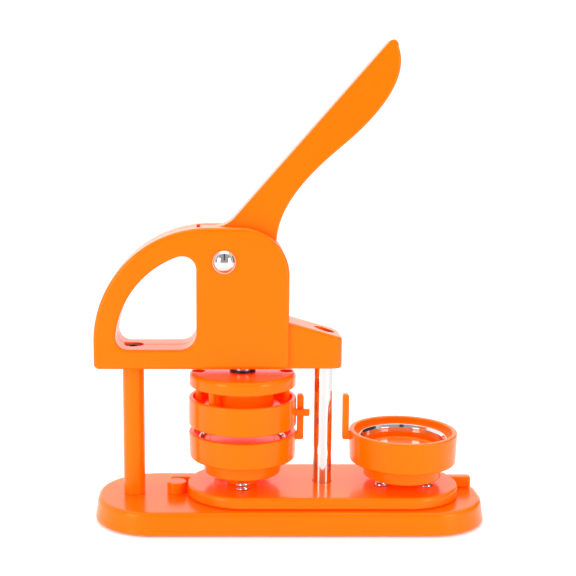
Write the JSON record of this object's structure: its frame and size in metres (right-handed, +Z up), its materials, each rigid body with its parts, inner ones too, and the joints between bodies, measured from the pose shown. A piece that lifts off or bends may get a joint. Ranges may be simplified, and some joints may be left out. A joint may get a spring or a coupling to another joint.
{
  "type": "button badge press",
  "caption": "Lever press on a flat base, with a half-turn turntable that carries two sprung badge dies between a loading side and the press head.",
  "frame": {"origin": "centre of the footprint, on the surface that the rubber feet stand on", "axes": "+X along the base from the plastic column towards the loading die, +Y to the rear, +Z up"},
  "size_m": [0.29, 0.098, 0.351],
  "materials": {
    "orange_body": "glossy moulded orange plastic",
    "orange_handle": "glossy moulded orange plastic",
    "orange_press": "glossy moulded orange plastic",
    "orange_dies": "glossy moulded orange plastic",
    "base_cover": "matt moulded black plastic",
    "rubber": "matt black rubber",
    "chrome": "bright chrome plate",
    "polished_ring": "polished plated steel",
    "steel": "turned steel",
    "spring_steel": "bright zinc-plated spring wire",
    "black_steel": "black oxide steel",
    "bronze": "plain bearing bronze"
  },
  "bodies": {
    "root": {"base_shell": "orange_body", "stop_peg": "orange_body", "base_cover": "base_cover", "cover_screws": "black_steel", "rubber_feet": "rubber", "column": "orange_body", "column_bolt": "black_steel", "column_nut": "steel", "chrome_post": "chrome", "post_top_bolt": "black_steel", "post_bottom_bolt": "steel", "thrust_washer": "bronze", "head_front": "orange_body", "head_rear": "orange_body", "head_screws": "black_steel", "pivot_bolt": "chrome", "pivot_nut": "chrome", "plunger_bush": "steel", "plunger_spring": "spring_steel"},
    "handle": {"handle": "orange_handle", "pivot_bush": "steel"},
    "ram": {"plunger": "steel", "plunger_cap": "steel", "plunger_washer": "black_steel", "press_disc": "orange_press", "punch": "orange_press", "punch_bolt": "black_steel"},
    "upper_ring": {"upper_ring": "orange_press", "ring_screws": "black_steel"},
    "selector": {"selector_ring": "orange_press"},
    "turntable": {"turntable": "orange_dies", "turntable_bush": "bronze", "die_a_core": "orange_dies", "die_b_core": "orange_dies", "core_screws": "steel", "die_a_springs": "spring_steel", "die_b_springs": "spring_steel"},
    "cup_a": {"die_a_cup": "orange_dies", "die_a_arm": "orange_dies", "die_a_steel_ring": "polished_ring"},
    "cup_b": {"die_b_cup": "orange_dies", "die_b_arm": "orange_dies", "die_b_steel_ring": "polished_ring"}
  },
  "joints": [
    {"name": "handle_pull", "type": "hinge", "parent": "root", "child": "handle", "pos_m": [-0.049, 0, 0.195], "axis": [0, 1, 0], "range_deg": [0, 56], "stiffness_Nm_per_rad": 0.45, "springref_deg": -51.57},
    {"name": "ram_slide", "type": "slide", "parent": "root", "child": "ram", "axis": [0, 0, -1], "range_m": [0, 0.0138], "deforming": ["plunger_spring"]},
    {"name": "ring_slide", "type": "slide", "parent": "ram", "child": "upper_ring", "axis": [0, 0, 1], "range_m": [0, 0.0087]},
    {"name": "turntable_turn", "type": "hinge", "parent": "root", "child": "turntable", "pos_m": [0.025, 0, 0.022], "axis": [0, 0, 1], "range_deg": [-180, 0]},
    {"name": "selector_turn", "type": "hinge", "parent": "upper_ring", "child": "selector", "pos_m": [-0.035, 0, 0.081], "axis": [0, 0, 1], "range_deg": [0, 16]},
    {"name": "cup_a_press", "type": "slide", "parent": "turntable", "child": "cup_a", "axis": [0, 0, -1], "range_m": [0, 0.007], "stiffness_N_per_m": 1500, "springref_m": -0.002, "deforming": ["die_a_springs"]},
    {"name": "cup_b_press", "type": "slide", "parent": "turntable", "child": "cup_b", "axis": [0, 0, -1], "range_m": [0, 0.0048], "stiffness_N_per_m": 1500, "springref_m": -0.002, "deforming": ["die_b_springs"]}
  ],
  "couplings": [
    {"joint": "ram_slide", "follows": "handle_pull", "m_per_rad": 0.014},
    {"joint": "ring_slide", "follows": "handle_pull", "m_per_rad": 0.0088},
    {"joint": "selector_turn", "follows": "turntable_turn", "ratio": -0.0888}
  ]
}
